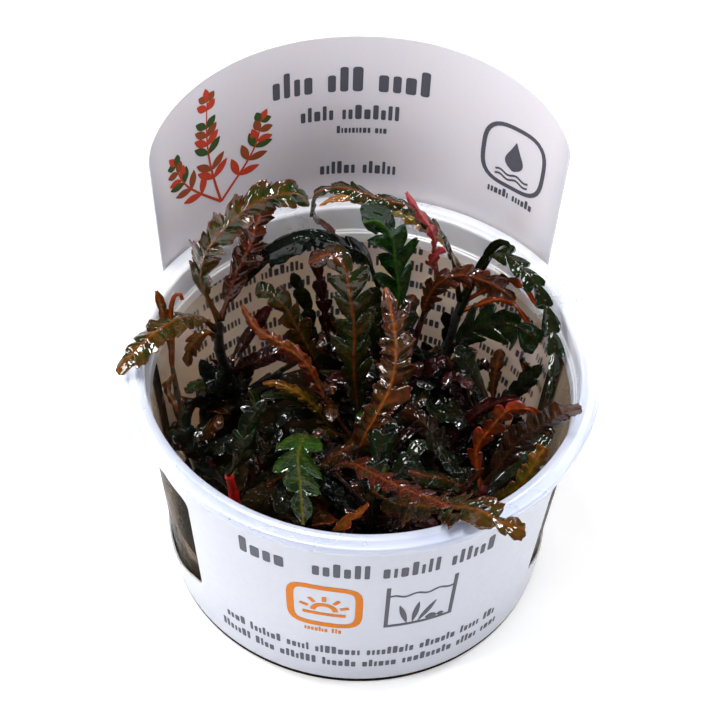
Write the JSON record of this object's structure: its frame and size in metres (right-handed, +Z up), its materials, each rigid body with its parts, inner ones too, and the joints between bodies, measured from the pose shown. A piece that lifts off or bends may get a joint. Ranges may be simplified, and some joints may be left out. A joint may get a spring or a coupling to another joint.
{
  "type": "tissue culture plant cup",
  "caption": "Clear tapered cup with a flanged rim and a windowed card sleeve with a tall header, holding gel and a tangle of lobed red and green aquarium stem plants.",
  "frame": {"origin": "middle of the cup's flat base, on the cup's axis", "axes": "+Z up along the cup's axis, -Y towards the front print, +Y towards the tall header, +X to the right seen from the front"},
  "size_m": [0.0972, 0.0999, 0.0979],
  "materials": {
    "clear_plastic": "gloss",
    "printed_card": "satin",
    "nutrient_gel": "gloss",
    "stem_skin": "gloss",
    "leaf_dark_green": "gloss",
    "leaf_green": "gloss",
    "leaf_olive": "gloss",
    "leaf_bronze": "gloss",
    "leaf_red_brown": "gloss",
    "leaf_orange": "gloss"
  },
  "bodies": {
    "root": {"cup": "clear_plastic", "sleeve": "printed_card", "gel": "nutrient_gel", "stem_left": "stem_skin", "stem_left_front": "stem_skin", "stem_left_edge": "stem_skin", "stem_middle": "stem_skin", "stem_back": "stem_skin", "stem_back_left": "stem_skin", "stem_upright": "stem_skin", "stem_back_right": "stem_skin", "stem_right_back": "stem_skin", "stem_right": "stem_skin", "stem_right_front": "stem_skin", "stem_right_middle": "stem_skin", "stem_front": "stem_skin", "stem_middle_front": "stem_skin", "stem_front_left": "stem_skin", "leaf_left_crest": "leaf_bronze", "leaf_left_inner": "leaf_red_brown", "leaf_over_left_rim": "leaf_olive", "leaf_left_upright": "leaf_orange", "leaf_left_hanging": "leaf_orange", "leaf_back_strap": "leaf_dark_green", "leaf_back_red": "leaf_red_brown", "leaf_back_green": "leaf_dark_green", "leaf_left_middle": "leaf_bronze", "leaf_orange_ribbon": "leaf_orange", "leaf_yellow_arc": "leaf_olive", "leaf_tall_middle": "leaf_dark_green", "leaf_bright_upright": "leaf_green", "leaf_middle_blade": "leaf_dark_green", "leaf_bronze_wavy": "leaf_bronze", "leaf_brown_arc": "leaf_bronze", "leaf_high_arch": "leaf_dark_green", "leaf_under_arch": "leaf_olive", "leaf_pink_shoot": "leaf_red_brown", "leaf_over_right": "leaf_dark_green", "leaf_red_arch": "leaf_red_brown", "leaf_pink_small": "leaf_red_brown", "leaf_right_lobed": "leaf_dark_green", "leaf_right_bronze": "leaf_bronze", "leaf_right_green": "leaf_dark_green", "leaf_over_right_rim": "leaf_bronze", "leaf_orange_lobed": "leaf_orange", "leaf_dark_right": "leaf_red_brown", "leaf_yellow_right": "leaf_olive", "leaf_small_right": "leaf_red_brown", "leaf_front_red": "leaf_red_brown", "leaf_front_rim": "leaf_bronze", "leaf_bright_front": "leaf_green", "leaf_front_small": "leaf_orange", "leaf_front_shoot": "leaf_orange", "leaf_left_lobed": "leaf_dark_green", "leaf_left_blade": "leaf_dark_green", "leaf_left_dark": "leaf_dark_green", "leaf_back_maroon": "leaf_red_brown", "leaf_left_low": "leaf_dark_green", "leaf_left_wide": "leaf_green", "leaf_left_tip": "leaf_green"}
  },
  "joints": []
}
